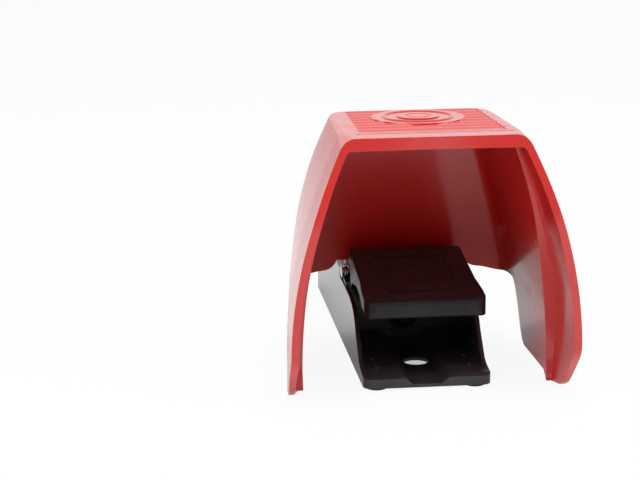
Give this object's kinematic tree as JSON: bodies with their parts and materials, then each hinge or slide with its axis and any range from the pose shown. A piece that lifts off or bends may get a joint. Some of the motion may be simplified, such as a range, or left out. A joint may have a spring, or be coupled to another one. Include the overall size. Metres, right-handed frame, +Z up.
{
  "type": "guarded foot switch",
  "caption": "Industrial foot switch: a sprung metal pedal on a die-cast base under a red moulded hood, with a cable gland at the rear.",
  "frame": {"origin": "on the floor, at the centre of the whole outline in plan", "axes": "+X to the right as seen by the user, +Y away from the user towards the cable entry, +Z up"},
  "size_m": [0.166, 0.2846, 0.1547],
  "materials": {
    "casting_black": "gloss black enamel on a die casting",
    "tread_black": "satin black enamel",
    "guard_red": "semi-gloss red moulding with a fine leather grain",
    "bright_steel": "bright zinc plated",
    "spring_steel": "bright drawn wire",
    "zinc_plate": "zinc plated sheet",
    "foot_rubber": "matt",
    "gasket_rubber": "matt",
    "bush_bronze": "sintered",
    "plunger_nylon": "moulded",
    "switch_plastic": "moulded",
    "button_red": "moulded",
    "terminal_brass": "plain",
    "gland_nylon": "moulded"
  },
  "bodies": {
    "base": {"base_casting": "casting_black", "base_plate": "zinc_plate", "plate_gasket": "gasket_rubber", "plate_screws": "bright_steel", "rubber_feet": "foot_rubber", "hinge_pin": "bright_steel", "pin_clip": "spring_steel", "left_spring": "spring_steel", "right_spring": "spring_steel", "stop_buffers": "foot_rubber", "guard": "guard_red", "guard_screws": "bright_steel", "guard_washers": "bright_steel", "plunger_bush": "bush_bronze", "plunger_boot": "gasket_rubber", "plunger_spring": "spring_steel", "switch_bracket": "zinc_plate", "bracket_screws": "bright_steel", "switch_body": "switch_plastic", "switch_screws": "bright_steel", "switch_terminals": "terminal_brass", "earth_screw": "terminal_brass", "gland_body": "gland_nylon", "gland_locknut": "gland_nylon", "gland_seal": "gasket_rubber", "gland_nut": "gland_nylon"},
    "pedal": {"pedal": "tread_black", "pedal_bushes": "bush_bronze"},
    "plunger": {"plunger": "plunger_nylon"},
    "lever": {"switch_lever": "spring_steel"},
    "button": {"switch_button": "button_red"}
  },
  "joints": [
    {"name": "pedal_hinge", "type": "hinge", "parent": "base", "child": "pedal", "pos_m": [0, -0.00775, 0.0455], "axis": [1, 0, 0], "range_deg": [0, 12], "stiffness_Nm_per_rad": 5.7, "springref_deg": -12.03, "deforming": ["left_spring", "right_spring"]},
    {"name": "plunger_slide", "type": "slide", "parent": "base", "child": "plunger", "axis": [0, 1, 0], "range_m": [0, 0.00561], "stiffness_N_per_m": 400, "springref_m": -0.005, "deforming": ["plunger_spring", "plunger_boot"]},
    {"name": "lever_swing", "type": "hinge", "parent": "base", "child": "lever", "pos_m": [-0.02, 0.01756, 0.0194], "axis": [0, 0, 1], "range_deg": [0, 15.5], "stiffness_Nm_per_rad": 0.02, "springref_deg": -5.73},
    {"name": "button_slide", "type": "slide", "parent": "base", "child": "button", "axis": [0, 1, 0], "range_m": [0, 0.00225], "stiffness_N_per_m": 20, "springref_m": -0.001}
  ],
  "couplings": [
    {"joint": "plunger_slide", "follows": "pedal_hinge", "m_per_rad": 0.026309},
    {"joint": "lever_swing", "follows": "pedal_hinge", "ratio": 1.2836},
    {"joint": "button_slide", "follows": "pedal_hinge", "m_per_rad": 0.010523}
  ]
}
